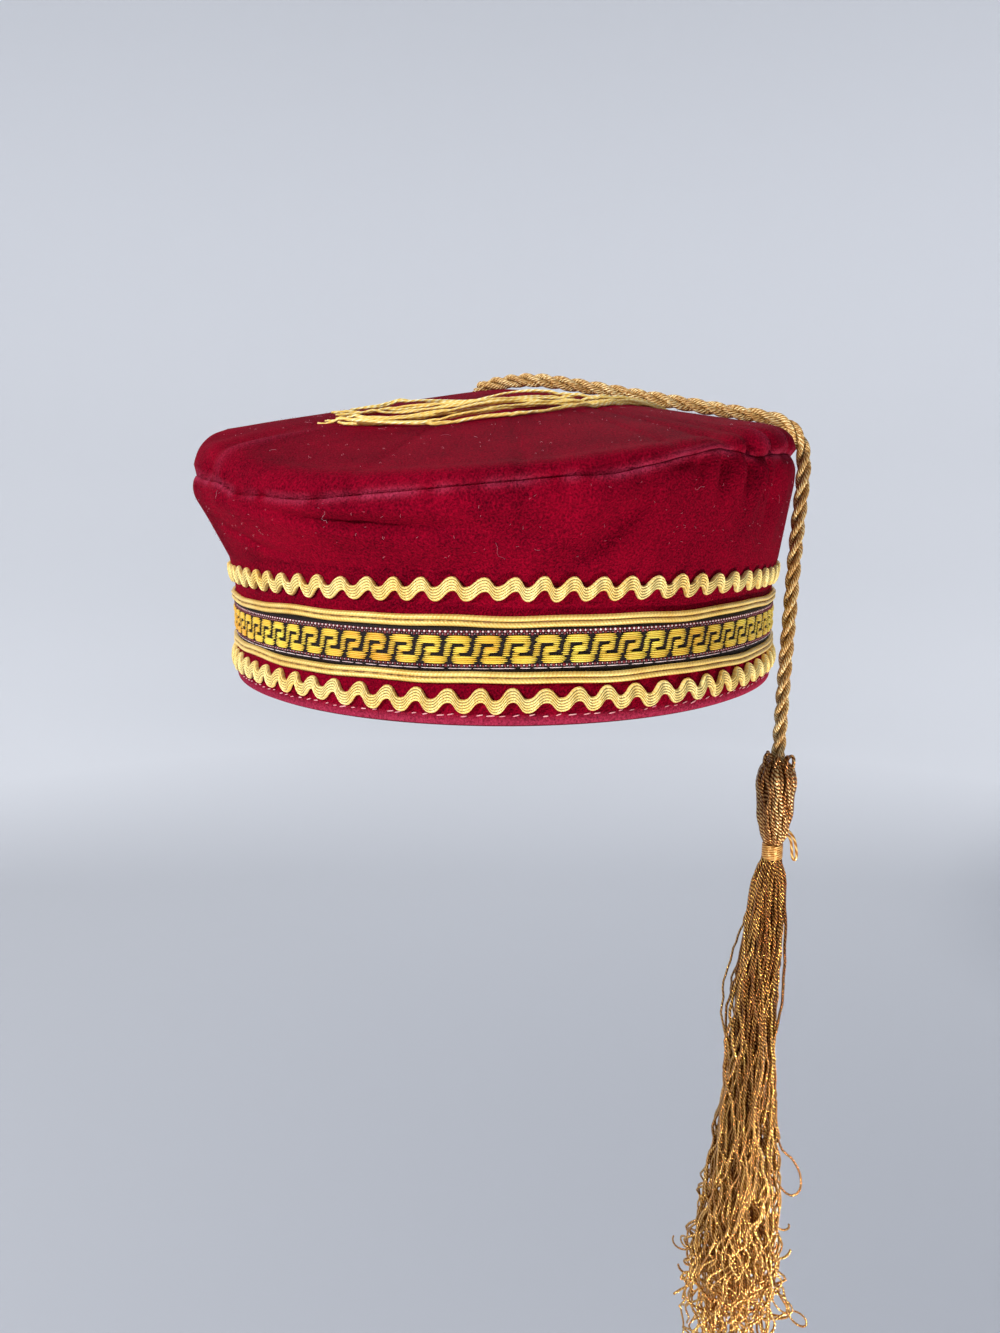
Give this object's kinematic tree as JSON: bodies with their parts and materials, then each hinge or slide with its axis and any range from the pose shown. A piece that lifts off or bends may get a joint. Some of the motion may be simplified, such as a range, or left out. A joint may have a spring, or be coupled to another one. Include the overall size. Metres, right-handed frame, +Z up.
{
  "type": "velvet smoking cap with tassel",
  "caption": "Soft burgundy velvet cap of the fez family, with gold rick-rack, soutache and a Greek key ribbon round its band, and a long gold tassel on a cord from its crown.",
  "frame": {"origin": "centre of the rim opening, in the plane of the hem", "axes": "+Z up through the crown, -Y to the front of the cap, +X to the side where the tassel hangs"},
  "size_m": [0.1929, 0.221, 0.3372],
  "materials": {
    "velvet": "burgundy cotton velvet, matt with a rose sheen at its edges",
    "gold_braid": "gold rayon braid, satin",
    "key_ribbon": "black jacquard ribbon with a yellow satin key pattern",
    "yellow_strand": "bright yellow rayon yarn, glossy",
    "old_gold_cord": "antique gold twisted rayon, glossy"
  },
  "bodies": {
    "root": {"crown_side": "velvet", "crown_top": "velvet", "rickrack_lower": "gold_braid", "rickrack_upper": "gold_braid", "braid_lower": "gold_braid", "braid_upper": "gold_braid", "key_ribbon": "key_ribbon", "crown_spray": "yellow_strand", "tassel_cord": "old_gold_cord", "tassel": "old_gold_cord", "tassel_binding": "old_gold_cord"}
  },
  "joints": []
}
